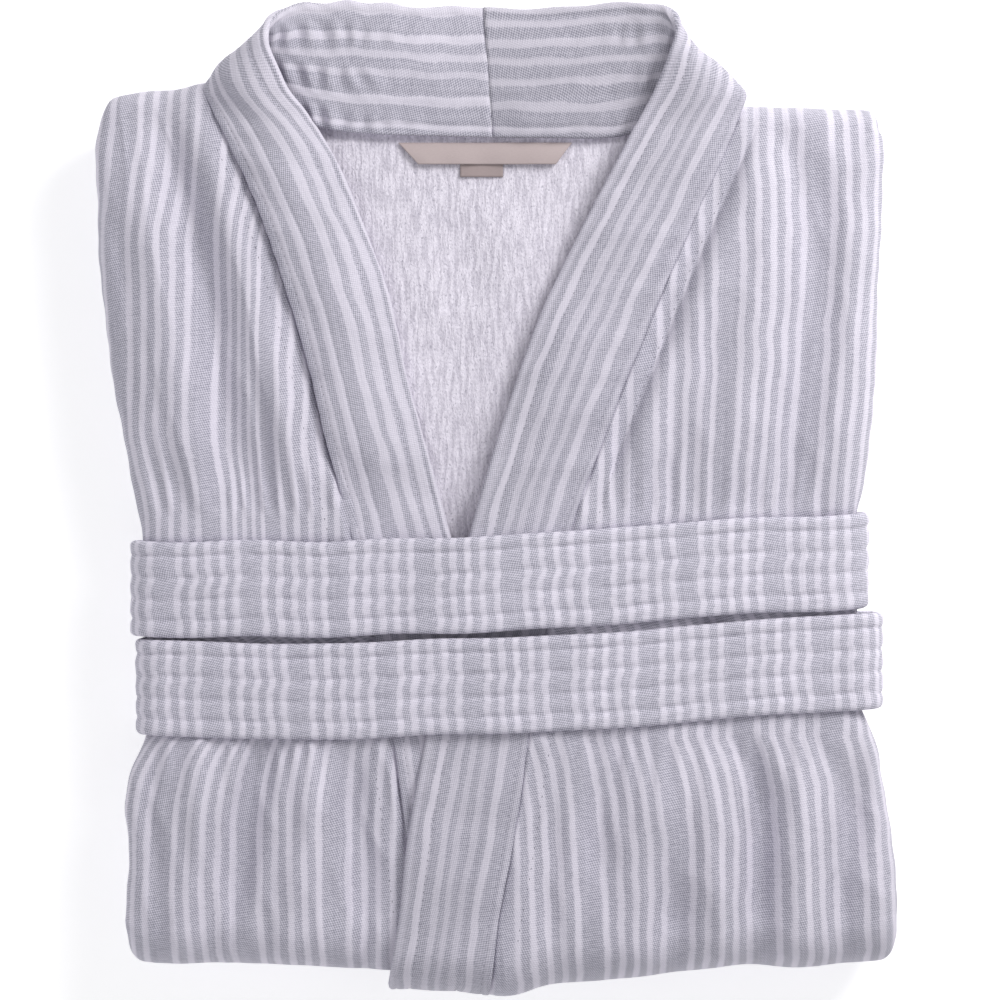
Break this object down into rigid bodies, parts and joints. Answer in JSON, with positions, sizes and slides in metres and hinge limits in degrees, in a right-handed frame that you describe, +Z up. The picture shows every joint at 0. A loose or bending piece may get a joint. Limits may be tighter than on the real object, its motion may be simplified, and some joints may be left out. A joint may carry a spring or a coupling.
{
  "type": "folded bathrobe",
  "caption": "Striped kimono bathrobe with a terry lining, folded flat as for a hotel room, its quilted belt wound round the bundle.",
  "frame": {"origin": "on the resting plane, under the middle of the folded bundle's box", "axes": "+Y from the bottom fold to the collar, +X to the right as the folded fronts are looked at, +Z up out of the fronts"},
  "size_m": [0.3961, 0.4944, 0.0639],
  "materials": {
    "striped_cloth": "matt woven cotton, white stripes on heathered grey-lilac",
    "striped_band": "the same striped cotton, doubled and topstitched",
    "striped_belt": "the same striped cotton across the belt, quilted by rows of stitching",
    "terry": "looped terry, off-white with a lilac cast",
    "label": "blank satin-woven ribbon, beige-mauve",
    "tab": "blank satin-woven ribbon, darker beige-mauve",
    "care_ribbon": "blank white ribbon"
  },
  "bodies": {
    "robe": {"left_front": "striped_cloth", "right_front": "striped_cloth", "left_collar_band": "striped_band", "right_collar_band": "striped_band", "back_panel": "terry", "left_sleeve": "striped_cloth", "right_sleeve": "striped_cloth", "left_pocket": "striped_cloth", "right_pocket": "striped_cloth", "left_belt_loop": "striped_band", "right_belt_loop": "striped_band", "care_label": "care_ribbon"},
    "belt": {"belt": "striped_belt"},
    "label": {"neck_label": "label", "size_tab": "tab"},
    "hanger": {"hanger_loop": "striped_band"}
  },
  "joints": [
    {"name": "belt_slide", "type": "slide", "parent": "robe", "child": "belt", "axis": [0, -1, 0], "range_m": [0, 0.26]},
    {"name": "label_flip", "type": "hinge", "parent": "robe", "child": "label", "pos_m": [0, 0.18, 0.0437], "axis": [-1, 0, 0], "range_deg": [0, 80]},
    {"name": "hanger_loop_lift", "type": "hinge", "parent": "robe", "child": "hanger", "pos_m": [0, 0.187, 0.0385], "axis": [1, 0, 0], "range_deg": [0, 65]}
  ]
}
